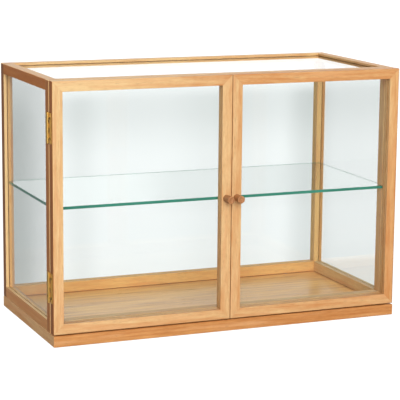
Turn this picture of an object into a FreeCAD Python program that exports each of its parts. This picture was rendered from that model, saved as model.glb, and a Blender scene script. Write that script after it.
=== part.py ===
import FreeCAD, Part
import math
import os

# Glass display cabinet in oak: a framed carcass with glass on four sides, on a low plinth,
# with two framed glass doors on brass hinges, a glass shelf and a wooden floor.
# Millimetres. X runs along the width, -Y is the front, Z is up. The origin lies on the
# floor, under the middle of the cabinet with its knobs.

# Overall sizes, without knobs and hinge barrels
cabinet_width = 630.0
cabinet_depth = 300.0
cabinet_height = 440.0

# Carcass frame
post_size = 18.0
top_rail_height = 18.0
bottom_rail_height = 20.0
arris = 0.8

# Plinth frame and floor panel
plinth_height = 19.0
plinth_member_width = 34.0
floor_thickness = 6.0
floor_inset = 10.0
floor_play = 0.3

# Doors
door_thickness = 18.0
door_member_width = 17.5
door_back_gap = 1.5
door_meeting_gap = 1.2
door_bottom_gap = 2.0

# Panes and their grooves
pane_thickness = 3.0
pane_play = 0.15
pane_end_play = 0.5
groove_depth = 6.0
side_pane_lip = 5.5
top_pane_lip = 4.5

# Glass shelf in its slots
shelf_thickness = 5.0
shelf_underside = 226.0
shelf_setback = 2.5
shelf_side_bite = 7.5
shelf_back_bite = 4.0
shelf_play = 0.4

# Knobs and the screws that hold them from the inside of the doors
knob_diameter = 13.0
knob_length = 21.0
knob_rounding = 1.0
knob_dish_diameter = 6.5
knob_dish_depth = 0.8
knob_height = 231.0
knob_screw_diameter = 4.0
knob_screw_bite = 12.0

# Hinges
hinge_length = 50.0
hinge_inset = 52.0
hinge_leaf_width = 13.0
hinge_leaf_thickness = 1.2
knuckle_radius = 2.1
knuckle_count = 6
knuckle_gap = 0.3
leaf_notch_depth = 4.1
hinge_pin_radius = 1.2
hinge_pin_clearance = 0.05
hinge_pin_stand_out = 0.6

# Screws in the hinge leaves
hinge_screw_diameter = 2.6
hinge_screw_length = 11.0
hinge_screw_spacing = 33.0

# Screws from the plinth into the bottom rails, and their places along the rails
plinth_screw_diameter = 4.0
plinth_screw_bite = 10.0
plinth_screw_sink = 1.0
front_screw_shares = (-0.38, 0.0, 0.38)
side_screw_shares = (0.25, 0.75)

# Every countersunk screw: head diameter and slot as shares of its shank
head_diameter_share = 1.9
head_height_share = 0.5
slot_width_share = 0.25
slot_depth_share = 0.3

# Dowels between posts and rails
dowel_diameter = 5.0
dowel_rail_bite = 12.0
dowel_end_wall = 1.0

# Splines in the door mitres, lying across the joint
spline_thickness = 3.0
spline_length = 8.0
spline_width = 12.0
spline_clear = 1.0

# Catch: magnets in the front rails, steel discs in the doors
magnet_diameter = 8.0
magnet_height = 4.0
disc_thickness = 1.5

# Cuts run this far past the faces that they open
overrun = 2.0
tolerance = 1.0e-4

# Places that follow from the sizes
half_width = cabinet_width / 2
front_y = (knob_length - cabinet_depth) / 2
back_y = front_y + cabinet_depth
door_back_y = front_y + door_thickness
carcass_front_y = door_back_y + door_back_gap
inner_x = half_width - post_size
inner_front_y = carcass_front_y + post_size
inner_back_y = back_y - post_size
bottom_rail_top = plinth_height + bottom_rail_height
top_rail_bottom = cabinet_height - top_rail_height
door_bottom = plinth_height + door_bottom_gap
groove_width = pane_thickness + 2 * pane_play
pane_bite = groove_depth - pane_end_play

X, Y, Z = range(3)
ORIGIN = FreeCAD.Vector(0, 0, 0)
RIGHTWARD = FreeCAD.Vector(1, 0, 0)
BACKWARD = FreeCAD.Vector(0, 1, 0)
UPWARD = FreeCAD.Vector(0, 0, 1)
SIDES = (("left", -1), ("right", 1))

width_span = (-half_width, half_width)
carcass_faces = {X: width_span, Y: (carcass_front_y, back_y), Z: (plinth_height, cabinet_height)}
plinth_faces = {X: width_span, Y: (front_y, back_y), Z: (0, plinth_height)}
door_span = (door_meeting_gap / 2, half_width)
door_faces = {X: door_span, Y: (front_y, door_back_y), Z: (door_bottom, cabinet_height)}


def block(x_span, y_span, z_span):
    """A box between pairs of coordinates, given in either order."""
    x0, x1 = sorted(x_span)
    y0, y1 = sorted(y_span)
    z0, z1 = sorted(z_span)
    return Part.makeBox(x1 - x0, y1 - y0, z1 - z0, FreeCAD.Vector(x0, y0, z0))


def grown(span, by):
    """A span made longer by the same amount at both ends."""
    low, high = sorted(span)
    return (low - by, high + by)


def cylinder(start, direction, radius, length):
    """A round bar from a point along a direction."""
    return Part.makeCylinder(radius, length, start, direction)


def on_side(shape, side):
    """The shape as built for the right side, or its mirror image for the left."""
    if side > 0:
        return shape
    return shape.mirror(ORIGIN, RIGHTWARD)


def eased(shape, outside, along=None):
    """Bevel the arrises where two outside faces meet, only those along one axis if it is given."""
    edges = []
    for edge in shape.Edges:
        ends = [vertex.Point for vertex in edge.Vertexes]
        runs_along = [axis for axis in (X, Y, Z) if abs(ends[0][axis] - ends[-1][axis]) > tolerance]
        faces = 0
        for axis, places in outside.items():
            on_face = [all(abs(end[axis] - place) < tolerance for end in ends) for place in places]
            faces += any(on_face)
        if faces == 2 and (along is None or runs_along == [along]):
            edges.append(edge)
    return shape.makeChamfer(arris, edges)


def mitred_outlines(outer, inner):
    """Outlines of the left, low, right and high members between an outer and an inner rectangle."""
    corners = []
    for (u0, u1), (v0, v1) in (outer, inner):
        corners.append([(u0, v0), (u1, v0), (u1, v1), (u0, v1)])
    outside, inside = corners
    outlines = []
    for end in range(len(outside)):
        start = end - 1
        outlines.append([outside[start], outside[end], inside[end], inside[start]])
    return outlines


def prism(points, height):
    """A closed outline of points pushed along a vector."""
    return Part.Face(Part.makePolygon(points + points[:1])).extrude(height)


def without(shape, cutters):
    """The shape with all cutters taken out."""
    for cutter in cutters:
        shape = shape.cut(cutter)
    return shape


# Screws and dowels

def screw_body(point, outward, diameter, length):
    """Countersunk screw without its slot: the head is flush at the point, the shank goes inward."""
    radius = diameter / 2
    head_radius = radius * head_diameter_share
    head_height = diameter * head_height_share
    tip = FreeCAD.Vector(0, 0, -length)
    head = Part.makeCone(radius, head_radius, head_height, FreeCAD.Vector(0, 0, -head_height))
    shank = Part.makeCylinder(radius, length - head_height - radius, tip + UPWARD * radius)
    point_cone = Part.makeCone(0, radius, radius, tip)
    body = head.fuse([shank, point_cone]).removeSplitter()
    body.Placement = FreeCAD.Placement(point, FreeCAD.Rotation(UPWARD, outward))
    return body


def screw(point, outward, diameter, length):
    """Countersunk screw with a slot across its head."""
    head_radius = diameter / 2 * head_diameter_share
    slot_width = diameter * slot_width_share
    slot_depth = diameter * slot_depth_share
    slot = block((-head_radius, head_radius), (-slot_width / 2, slot_width / 2), (-slot_depth, slot_depth))
    slot.Placement = FreeCAD.Placement(point, FreeCAD.Rotation(UPWARD, outward))
    return screw_body(point, outward, diameter, length).cut(slot)


def dowel_places():
    """Start, direction and length of every dowel: one at each end of each rail, along the rail."""
    inset = (post_size - groove_depth) / 2
    post_bite = post_size - inset - dowel_diameter / 2 - dowel_end_wall
    heights = (
        plinth_height + (bottom_rail_height - groove_depth) / 2,
        cabinet_height - (top_rail_height - groove_depth) / 2,
    )
    length = post_bite + dowel_rail_bite
    places = []
    for height in heights:
        for side in (-1, 1):
            for y in (carcass_front_y + inset, back_y - inset):
                start = FreeCAD.Vector(side * (inner_x - dowel_rail_bite), y, height)
                places.append((start, RIGHTWARD * side, length))
            x = side * (half_width - inset)
            front_start = FreeCAD.Vector(x, inner_front_y + dowel_rail_bite, height)
            back_start = FreeCAD.Vector(x, inner_back_y - dowel_rail_bite, height)
            places.append((front_start, BACKWARD * -1, length))
            places.append((back_start, BACKWARD, length))
    return places


def frame_dowels():
    """All dowels of the carcass."""
    radius = dowel_diameter / 2
    return [cylinder(start, direction, radius, length) for start, direction, length in dowel_places()]


def plinth_screw_points():
    """Undersides of the screw heads, in the strip where rail, floor rim and plinth lie on each other."""
    inset = (floor_inset + post_size) / 2
    points = []
    for y in (carcass_front_y + inset, back_y - inset):
        for share in front_screw_shares:
            points.append(FreeCAD.Vector(share * cabinet_width, y, plinth_screw_sink))
    for side in (-1, 1):
        for share in side_screw_shares:
            y = inner_front_y + share * (inner_back_y - inner_front_y)
            points.append(FreeCAD.Vector(side * (half_width - inset), y, plinth_screw_sink))
    return points


def plinth_screws(shape_of):
    """The screws under the plinth, as screws or as the holes that they need."""
    length = plinth_height + plinth_screw_bite - plinth_screw_sink
    return [shape_of(point, UPWARD * -1, plinth_screw_diameter, length) for point in plinth_screw_points()]


def plinth_screw_holes():
    """Holes of the plinth screws, with the sink under each head."""
    head_radius = plinth_screw_diameter / 2 * head_diameter_share
    depth = plinth_screw_sink + overrun
    sinks = [cylinder(point, UPWARD * -1, head_radius, depth) for point in plinth_screw_points()]
    return plinth_screws(screw_body) + sinks


# Panes

def lip_span(face, inward, lip):
    """Span of a pane groove that lies behind a lip of the given depth."""
    return (face + inward * lip, face + inward * (lip + groove_width))


clear_width = (-inner_x, inner_x)
clear_depth = (inner_front_y, inner_back_y)
clear_height = (bottom_rail_top, top_rail_bottom)


def side_pane_spans(side):
    """Groove and clear opening of a side pane, as spans along X, Y and Z."""
    return lip_span(side * half_width, -side, side_pane_lip), clear_depth, clear_height


def back_pane_spans():
    return clear_width, lip_span(back_y, -1, side_pane_lip), clear_height


def top_pane_spans():
    return clear_width, clear_depth, lip_span(cabinet_height, -1, top_pane_lip)


def pane_box(spans, thin_axis, reach, play):
    """A box over a pane opening: it reaches into the wood all round and has play in its groove."""
    growth = [reach, reach, reach]
    growth[thin_axis] = -play
    return block(*map(grown, spans, growth))


def carcass_panes():
    """Name, opening spans and thin axis of each pane of the carcass."""
    return {
        "left_glass": (side_pane_spans(-1), X),
        "right_glass": (side_pane_spans(1), X),
        "back_glass": (back_pane_spans(), Y),
        "top_glass": (top_pane_spans(), Z),
    }


def carcass_grooves():
    return [pane_box(spans, thin_axis, groove_depth, 0) for spans, thin_axis in carcass_panes().values()]


# Shelf

shelf_top = shelf_underside + shelf_thickness
shelf_half_width = inner_x + shelf_side_bite
shelf_front_y = carcass_front_y + shelf_setback
shelf_back_y = inner_back_y + shelf_back_bite


def glass_shelf():
    x_span = (-shelf_half_width, shelf_half_width)
    return block(x_span, (shelf_front_y, shelf_back_y), (shelf_underside, shelf_top))


def shelf_slots():
    """Room for the shelf corners: open to the front in the front posts, stopped in the back posts."""
    x_span = grown((-shelf_half_width, shelf_half_width), shelf_play)
    y_span = (carcass_front_y - overrun, shelf_back_y + shelf_play)
    return [block(x_span, y_span, (shelf_underside, shelf_top + shelf_play))]


# Catch

magnet_x = door_meeting_gap / 2 + door_member_width + magnet_diameter
magnet_heights = (door_bottom + door_member_width / 2, cabinet_height - door_member_width / 2)


def catch_buttons(side, y, height):
    """Round buttons at the two catch places of one door, standing from y towards the back."""
    centres = [FreeCAD.Vector(side * magnet_x, y, z) for z in magnet_heights]
    return [cylinder(centre, BACKWARD, magnet_diameter / 2, height) for centre in centres]


def catch_magnets():
    magnets = []
    for _, side in SIDES:
        magnets += catch_buttons(side, carcass_front_y, magnet_height)
    return magnets


# Hinges, built for the right side

hinge_axis_x = half_width + knuckle_radius
hinge_axis_y = door_back_y + door_back_gap / 2
hinge_bottoms = {"lower": door_bottom + hinge_inset, "upper": cabinet_height - hinge_inset - hinge_length}
knuckle_pitch = hinge_length / knuckle_count


def leaf_point(reach, height, backward):
    """A point of a leaf's section: reach from the pin along the leaf, height above the side face."""
    return FreeCAD.Vector(half_width + height, hinge_axis_y + backward * reach, 0)


def knuckle_spans(own_first, bottom):
    """Heights of every second knuckle, shortened by the gap to its neighbours."""
    spans = []
    for number in range(own_first, knuckle_count, 2):
        low = bottom + number * knuckle_pitch
        spans.append((low + knuckle_gap / 2, low + knuckle_pitch - knuckle_gap / 2))
    return spans


def knuckle(span, backward):
    """One knuckle rolled from the leaf, with the strip that joins it to the leaf.

    The barrel lies against the side face. Its outline leaves that face at the root angle, goes
    the long way round and meets the leaf's outer surface at the bite angle.
    """
    root_angle = -math.pi / 2
    bite_angle = math.asin((hinge_leaf_thickness - knuckle_radius) / knuckle_radius)

    def on_barrel(angle):
        reach = knuckle_radius * math.cos(angle)
        height = knuckle_radius * math.sin(angle) + knuckle_radius
        return leaf_point(reach, height, backward)

    start = on_barrel(root_angle)
    end = on_barrel(bite_angle)
    middle = on_barrel((root_angle + bite_angle) / 2 - math.pi)
    edge_low = leaf_point(hinge_leaf_width, 0, backward)
    edge_high = leaf_point(hinge_leaf_width, hinge_leaf_thickness, backward)
    sides = [
        Part.Arc(start, middle, end).toShape(),
        Part.makeLine(end, edge_high),
        Part.makeLine(edge_high, edge_low),
        Part.makeLine(edge_low, start),
    ]
    section = Part.Face(Part.Wire(sides))
    low, high = span
    section.translate(UPWARD * low)
    return section.extrude(UPWARD * (high - low))


def hinge_leaf(backward, own_first, bottom, bore_radius):
    """A leaf with every second knuckle, notched beside the knuckles of the other leaf."""
    notch_reach = knuckle_radius + leaf_notch_depth
    strip = block(
        (half_width, half_width + hinge_leaf_thickness),
        (hinge_axis_y + backward * notch_reach, hinge_axis_y + backward * hinge_leaf_width),
        (bottom, bottom + hinge_length),
    )
    knuckles = [knuckle(span, backward) for span in knuckle_spans(own_first, bottom)]
    leaf = strip.fuse(knuckles).removeSplitter()
    bore = hinge_bar(bottom, bore_radius, overrun)
    return without(leaf, [bore] + hinge_screws(backward, bottom, screw_body))


def hinge_bar(bottom, radius, stand_out):
    """A round bar on the hinge axis that stands out at both ends of the barrel."""
    start = FreeCAD.Vector(hinge_axis_x, hinge_axis_y, bottom - stand_out)
    return cylinder(start, UPWARD, radius, hinge_length + 2 * stand_out)


def hinge_screws(backward, bottom, shape_of):
    """Screws of one leaf, midway between its notches and its edge."""
    reach = (knuckle_radius + leaf_notch_depth + hinge_leaf_width) / 2
    screws = []
    for step in (-1, 1):
        height = bottom + hinge_length / 2 + step * hinge_screw_spacing / 2
        point = leaf_point(reach, hinge_leaf_thickness, backward) + UPWARD * height
        screws.append(shape_of(point, RIGHTWARD, hinge_screw_diameter, hinge_screw_length))
    return screws


def side_hinge_screws(backward, shape_of):
    """Screws of both leaves on one body at the right side."""
    screws = []
    for bottom in hinge_bottoms.values():
        screws += hinge_screws(backward, bottom, shape_of)
    return screws


# Doors, built for the right side

door_opening = (
    (door_meeting_gap / 2 + door_member_width, half_width - door_member_width),
    (door_bottom + door_member_width, cabinet_height - door_member_width),
)
door_groove_y = front_y + (door_thickness - groove_width) / 2
knob_x = (door_meeting_gap + door_member_width) / 2


def door_pane(reach, play):
    """Box over the door opening in the groove, reaching into the frame all round."""
    x_span, z_span = door_opening
    y_span = (door_groove_y + play, door_groove_y + groove_width - play)
    return block(grown(x_span, reach), y_span, grown(z_span, reach))


def door_splines():
    """One spline across each mitre, past the end of the pane groove."""
    x_span, z_span = door_opening
    middle_y = front_y + door_thickness / 2
    start = math.hypot(groove_depth, groove_depth) + spline_clear
    splines = []
    for x, x_way in zip(x_span, (-1, 1)):
        for z, z_way in zip(z_span, (-1, 1)):
            spline = block(
                (start, start + spline_length),
                (-spline_thickness / 2, spline_thickness / 2),
                (-spline_width / 2, spline_width / 2),
            )
            outward = FreeCAD.Vector(x_way, 0, z_way)
            corner = FreeCAD.Vector(x, middle_y, z)
            turn = -math.degrees(math.atan2(outward.z, outward.x))
            spline.Placement = FreeCAD.Placement(corner, FreeCAD.Rotation(BACKWARD, turn))
            splines.append(spline)
    return splines


def knob_screw(shape_of):
    point = FreeCAD.Vector(knob_x, door_back_y, knob_height)
    return shape_of(point, BACKWARD, knob_screw_diameter, door_thickness + knob_screw_bite)


def knob():
    """Turned dowel knob with a rounded end and a small dish in it."""
    base = FreeCAD.Vector(knob_x, front_y, knob_height)
    forward = BACKWARD * -1
    body = cylinder(base, forward, knob_diameter / 2, knob_length)
    circles = [edge for edge in body.Edges if edge.Closed]
    rim = min(circles, key=lambda circle: circle.CenterOfMass.y)
    body = body.makeFillet(knob_rounding, [rim])
    dish_radius = knob_dish_diameter / 2
    ball_radius = (dish_radius ** 2 + knob_dish_depth ** 2) / (2 * knob_dish_depth)
    ball_y = front_y - knob_length + knob_dish_depth - ball_radius
    ball = Part.makeSphere(ball_radius, FreeCAD.Vector(knob_x, ball_y, knob_height))
    return without(body, [ball, knob_screw(screw_body)])


def door_pieces():
    """Every piece of the right door, by the end of its name."""
    outer = (door_faces[X], door_faces[Z])
    lengthways = {"meeting_stile": Z, "bottom_rail": X, "hinge_stile": Z, "top_rail": X}
    discs = catch_buttons(1, door_back_y - disc_thickness, disc_thickness)
    splines = door_splines()
    screws = side_hinge_screws(-1, screw_body) + [knob_screw(screw_body)]
    cutters = [door_pane(groove_depth, 0)] + splines + discs + screws
    pieces = {}
    for (name, along), outline in zip(lengthways.items(), mitred_outlines(outer, door_opening)):
        points = [FreeCAD.Vector(x, front_y, z) for x, z in outline]
        member = eased(prism(points, BACKWARD * door_thickness), door_faces, along)
        pieces["door_" + name] = without(member, cutters)
    pieces["door_glass"] = door_pane(pane_bite, pane_play)
    pieces["door_splines"] = Part.makeCompound(splines)
    pieces["door_strike_discs"] = Part.makeCompound(discs)
    pieces["knob"] = knob()
    pieces["knob_screw"] = knob_screw(screw)
    for name, bottom in hinge_bottoms.items():
        bore_radius = hinge_pin_radius + hinge_pin_clearance
        pieces[name + "_hinge_door_leaf"] = hinge_leaf(-1, 1, bottom, bore_radius)
    pieces["door_hinge_screws"] = Part.makeCompound(side_hinge_screws(-1, screw))
    return pieces


# Carcass

def side_hinge_pieces():
    """What the carcass carries of the hinges at the right side, by the end of its name."""
    pieces = {}
    for name, bottom in hinge_bottoms.items():
        pieces[name + "_hinge_carcass_leaf"] = hinge_leaf(1, 0, bottom, hinge_pin_radius)
        pieces[name + "_hinge_pin"] = hinge_bar(bottom, hinge_pin_radius, hinge_pin_stand_out)
    pieces["carcass_hinge_screws"] = Part.makeCompound(side_hinge_screws(1, screw))
    return pieces


def carcass_cutters():
    """Everything that is cut out of posts and rails."""
    cutters = carcass_grooves() + shelf_slots() + frame_dowels()
    cutters += plinth_screws(screw_body) + catch_magnets()
    for _, side in SIDES:
        cutters += [on_side(hole, side) for hole in side_hinge_screws(1, screw_body)]
    return cutters


def frame_members():
    """Uncut posts and rails of the carcass."""
    full_height = (plinth_height, cabinet_height)
    y_spans = {"front": (carcass_front_y, inner_front_y), "back": (inner_back_y, back_y)}
    z_spans = {"bottom": (plinth_height, bottom_rail_top), "top": (top_rail_bottom, cabinet_height)}
    members = {}
    for end, y_span in y_spans.items():
        for name, side in SIDES:
            members[f"{end}_{name}_post"] = block((side * inner_x, side * half_width), y_span, full_height)
    for level, z_span in z_spans.items():
        for end, y_span in y_spans.items():
            members[f"{level}_{end}_rail"] = block((-inner_x, inner_x), y_span, z_span)
        for name, side in SIDES:
            x_span = (side * inner_x, side * half_width)
            members[f"{level}_{name}_rail"] = block(x_span, (inner_front_y, inner_back_y), z_span)
    return members


def floor_panel():
    return block(
        grown(width_span, -floor_inset),
        (carcass_front_y + floor_inset, back_y - floor_inset),
        (plinth_height - floor_thickness, plinth_height),
    )


def floor_rebate():
    """Room for the floor panel in the plinth, with play round its rim."""
    return block(
        grown(width_span, floor_play - floor_inset),
        (carcass_front_y + floor_inset - floor_play, back_y - floor_inset + floor_play),
        (plinth_height - floor_thickness, plinth_height + overrun),
    )


def plinth_members():
    """Four mitred members, flush with the doors in front and with the carcass at the other sides."""
    outer = (plinth_faces[X], plinth_faces[Y])
    inner = (
        grown(plinth_faces[X], -plinth_member_width),
        (carcass_front_y + plinth_member_width, back_y - plinth_member_width),
    )
    cutters = [floor_rebate()] + plinth_screw_holes()
    lengthways = {"plinth_left": Y, "plinth_front": X, "plinth_right": Y, "plinth_back": X}
    members = {}
    for (name, along), outline in zip(lengthways.items(), mitred_outlines(outer, inner)):
        points = [FreeCAD.Vector(x, y, 0) for x, y in outline]
        member = eased(prism(points, UPWARD * plinth_height), plinth_faces, along)
        members[name] = without(member, cutters)
    return members


def all_pieces():
    """Every node of the cabinet."""
    cutters = carcass_cutters()
    pieces = {}
    for name, member in frame_members().items():
        pieces[name] = without(eased(member, carcass_faces), cutters)
    for name, (spans, thin_axis) in carcass_panes().items():
        pieces[name] = pane_box(spans, thin_axis, pane_bite, pane_play)
    pieces["glass_shelf"] = glass_shelf()
    pieces["floor_panel"] = without(floor_panel(), plinth_screws(screw_body))
    pieces.update(plinth_members())
    pieces["frame_dowels"] = Part.makeCompound(frame_dowels())
    pieces["plinth_screws"] = Part.makeCompound(plinth_screws(screw))
    pieces["catch_magnets"] = Part.makeCompound(catch_magnets())
    for name, side in SIDES:
        for ending, piece in list(door_pieces().items()) + list(side_hinge_pieces().items()):
            pieces[f"{name}_{ending}"] = on_side(piece, side)
    return pieces


os.makedirs("parts", exist_ok=True)
for node, shape in all_pieces().items():
    shape.exportStep(os.path.join("parts", node + ".step"))
    print(f"{node}: {len(shape.Solids)} solid(s), valid {shape.isValid()}, volume {shape.Volume:.1f}")
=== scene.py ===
"""Looks for an oak display cabinet with glass on all sides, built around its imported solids."""

import math
from functools import reduce

import bmesh
import bpy
import numpy as np
from mathutils import Matrix, Vector


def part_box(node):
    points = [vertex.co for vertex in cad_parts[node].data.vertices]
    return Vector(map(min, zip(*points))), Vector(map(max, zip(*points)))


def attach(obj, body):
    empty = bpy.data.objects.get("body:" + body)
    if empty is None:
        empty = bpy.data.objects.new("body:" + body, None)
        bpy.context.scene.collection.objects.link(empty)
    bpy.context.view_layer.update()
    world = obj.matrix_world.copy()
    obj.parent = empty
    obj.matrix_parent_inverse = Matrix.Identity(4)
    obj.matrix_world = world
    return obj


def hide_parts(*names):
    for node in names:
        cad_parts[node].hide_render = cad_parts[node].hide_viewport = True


bl_info = {
    "name": "Oak display cabinet",
    "version": (1, 0, 0),
    "blender": (4, 5, 0),
    "location": "View3D > Sidebar > Cabinet",
    "description": "Eased oak frame, glass, brass hinges and turned knobs for a display cabinet",
    "category": "Add Mesh",
}

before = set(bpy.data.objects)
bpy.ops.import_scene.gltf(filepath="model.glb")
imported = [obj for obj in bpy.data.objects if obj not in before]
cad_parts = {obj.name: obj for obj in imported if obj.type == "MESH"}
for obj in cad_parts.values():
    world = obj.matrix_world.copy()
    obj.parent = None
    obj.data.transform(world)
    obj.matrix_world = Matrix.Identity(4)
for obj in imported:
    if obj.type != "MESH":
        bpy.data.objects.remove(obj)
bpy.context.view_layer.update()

MM = 0.001
X, Y, Z = range(3)
AXES = np.eye(3)
SIDES = (("left", -1), ("right", 1))
QUARTER_TURN = math.pi / 2

# Grooves are wider than their panes by this play on each face, and deeper by the end play
PANE_PLAY = 0.35 * MM
PANE_END_PLAY = 0.5 * MM
SHELF_PLAY = 0.4 * MM

# Steps in a quarter circle of a rounded arris, and depths of the rings that round a board's end,
# as shares of the largest radius there
ARC_STEPS = 4
END_STEPS = np.array([0.0, 0.15, 0.4, 0.75, 1.0])

# Points nearer than this are joined, and faces that turn by more than this meet in a crisp edge
WELD_REACH = 1e-6
CRISP_TURN = math.radians(40)

# Ranges of a board's distance from its pith, and of the place along the grain where it starts
PITH_RANGE = (0.03, 0.11)
START_RANGE = (0, 20)

# Ring spacing, waviness and streak width of the grain
FRAME_GRAIN = (0.0042, 0.006, 0.0045)
VENEER_GRAIN = (0.012, 0.02, 0.013)
KNOB_GRAIN = (0.0022, 0.001, 0.002)

# Scales of the figure's noises, per metre, along the grain and twice across it
BEND_SCALE = (5.0, 18.0, 18.0)
PORE_SCALE = (90.0, 2200.0, 2200.0)
TONE_SCALE = (2.2, 22.0, 22.0)
WARMTH_SCALE = (9.0, 120.0, 120.0)

# A little of the way along the grain counts for rings and streaks as well, so that rings run out
# along a board and streaks are drawn out
RING_STRETCH = (0.012, 1.0, 1.0)
STREAK_STRETCH = (0.12, 1.0, 1.0)

# Power of a ring's profile, and where in a ring its last fall ends and where it begins
RING_POWER = 1.6
RING_FALL = (1.0, 0.8)

# Noise that shows as none and as full
STREAK_RANGE = (0.32, 0.68)
PORE_RANGE = (0.56, 0.7)
TONE_RANGE = (0.28, 0.72)
WARMTH_RANGE = (0.5, 0.72)

# Two depths of a ring's colour, and the share of the pores that is left at each
PORES_IN_RING = (0.0, 0.55, 1.0, 0.25)

# Depth of a pore, and the height of a streak as a share of it
PORE_DEPTH = 0.12 * MM
STREAK_HEIGHT = 0.35

# How much rougher oak is between the streaks than its gloss says, and how much smoother on them
ROUGHER, SMOOTHER = 0.1, 0.06

# Where the floor panel and a knob lie in their boards: along the grain, and across it from the pith
VENEER_PLACE = (3.0, 0.05, 0.06)
KNOB_PLACE = (2.0, 0.006, 0.004)

# How much each part of the figure adds to the share of the deep colour, their sum in the middle,
# the shares of warm patches and of pores, and the tone of a board that has none of its own
FIGURE_WEIGHTS = (("Rings", 0.4), ("Streaks", 0.55), ("Tone", 0.45))
FIGURE_MIDDLE = 0.6
WARM_SHARE, PORE_SHARE = 0.7, 0.5
PLAIN_TONE = 0.5

# What the golden cast leaves of the wood's colour, and what a tone over 1 leaves of it as painted shade
GOLDEN = (1.0, 0.78, 0.42, 1.0)
SHADED = (0.4, 0.35, 0.3, 1.0)

# Hidden beech: its two colours, the scale of its fleck, and the noise that shows as none and full
BEECH_PALE, BEECH_DEEP = (0.66, 0.47, 0.29, 1), (0.52, 0.33, 0.18, 1)
FLECK_SCALE = (900.0, 900.0, 300.0)
FLECK_RANGE = (0.35, 0.65)

# Handling marks: noise that shows as none and full, how much finer the fine marks are than the
# broad ones, and what a broad mark shows where there is no fine one
BROAD_MARKS = (0.4, 0.75)
FINE_MARKS = (0.45, 0.8)
MARKS_FINER = 9.0
MARKS_LEAST = 0.35

# Roughness of glass under a full mark
GLASS_HAZE = 0.035

# Polished edge of the shelf: scales of its grinding lines and its cloud, the noise that shows as
# none and full, the share of each in the bright colour, and its roughness off and on a line
LINE_SCALE = (12.0, 12.0, 2600.0)
CLOUD_SCALE = 14.0
EDGE_RANGE = (0.3, 0.7)
EDGE_SHARE = 0.5
EDGE_ROUGHNESS = (0.08, 0.22)

# Metal: scale and depth of its brushing, the shares of brushing and marks in its tarnish, and the
# roughness that full tarnish adds
BRUSH_SCALE = (3000.0, 3000.0, 160.0)
BRUSH_DEPTH = 0.03 * MM
BRUSH_TARNISH, MARK_TARNISH = 0.35, 0.8
TARNISH_ROUGHNESS = 0.22


def settings():
    """The sizes and colours that the operators read."""
    return bpy.context.scene.cabinet


def node_box(name):
    """Lowest and highest corner of a CAD node as numpy arrays."""
    low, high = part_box(name)
    return np.array(low), np.array(high)


# Meshes


def rounded(corners, radii):
    """Outline of a section. Each right-angled corner with a radius is a quarter circle.

    With u the direction into the corner and w the direction out of it, the circle's centre is
    corner - r u + r w, and its points are centre + r (u sin t - w cos t) for t from 0 to 90 degrees.
    """
    corners = np.array(corners, float)
    into = corners - np.roll(corners, 1, axis=0)
    into /= np.linalg.norm(into, axis=1)[:, None]
    out = np.roll(into, -1, axis=0)
    turn = np.linspace(0, QUARTER_TURN, ARC_STEPS + 1)[:, None]
    pieces = []
    for corner, u, w, radius in zip(corners, into, out, radii):
        if radius:
            centre = corner + radius * (w - u)
            pieces.append(centre + radius * (np.sin(turn) * u - np.cos(turn) * w))
        else:
            pieces.append(corner[None])
    return np.concatenate(pieces)


def pulled_in(outline, size, radii, depth):
    """The outline at a depth under a board's end: pulled in at each of the section's four sides.

    A side with radius r has moved in by r - sqrt(r^2 - (r - d)^2) at a depth d under r. The radii
    are those of the two first sides and then of the two across from them.
    """
    radii = np.array(radii)
    rest = np.clip(radii - depth, 0, None)
    inward = radii - np.sqrt(radii**2 - rest**2)
    return np.clip(outline, inward[:2], size - inward[2:])


def carried(rings):
    """Vertices and faces of a skin through rings of points, with a flat face on both ends.

    Vertex (i, j) is point j of ring i, and each face joins points j and j + 1 of rings i and
    i + 1. If the enclosed volume comes out negative, all faces are turned round.
    """
    rings = np.array(rings)
    count, around = rings.shape[:2]
    index = np.arange(count * around).reshape(count, around)
    here, above = index[:-1], index[1:]
    quads = np.stack([here, np.roll(here, -1, 1), np.roll(above, -1, 1), above], axis=-1).reshape(-1, 4)
    points = rings.reshape(-1, 3)
    middle = points.mean(axis=0)
    a, b, c, d = (points[quads[:, k]] - middle for k in range(4))
    volume = np.einsum("ij,ij->", a, np.cross(b, c)) + np.einsum("ij,ij->", a, np.cross(c, d))
    faces = [list(q) for q in quads.tolist()] + [index[0, ::-1].tolist(), index[-1].tolist()]
    if volume < 0:
        faces = [face[::-1] for face in faces]
    return points, faces


def weld(mesh):
    """Join points that lie on each other, and drop the faces that this leaves without area."""
    shape = bmesh.new()
    shape.from_mesh(mesh)
    bmesh.ops.remove_doubles(shape, verts=shape.verts, dist=WELD_REACH)
    bmesh.ops.dissolve_degenerate(shape, edges=shape.edges, dist=WELD_REACH)
    shape.to_mesh(mesh)
    shape.free()


def new_piece(name, points, faces, materials, body, face_materials=None):
    """A mesh object at the origin from arrays, welded, with smooth rounds and crisp edges."""
    mesh = bpy.data.meshes.new(name)
    mesh.from_pydata(points.tolist(), [], faces)
    for material in materials:
        mesh.materials.append(material)
    if face_materials is not None:
        mesh.polygons.foreach_set("material_index", face_materials)
    piece = bpy.data.objects.new(name, mesh)
    bpy.context.scene.collection.objects.link(piece)
    weld(mesh)
    mesh.shade_smooth()
    mesh.set_sharp_from_angle(angle=CRISP_TURN)
    weighted = piece.modifiers.new("even normals", "WEIGHTED_NORMAL")
    weighted.keep_sharp = True
    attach(piece, body)
    return piece


def rows_of(items, name):
    """A vector of each vertex or face, as the rows of an array."""
    values = np.empty(len(items) * 3, np.float32)
    items.foreach_get(name, values)
    return values.reshape(-1, 3)


# Boards


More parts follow.
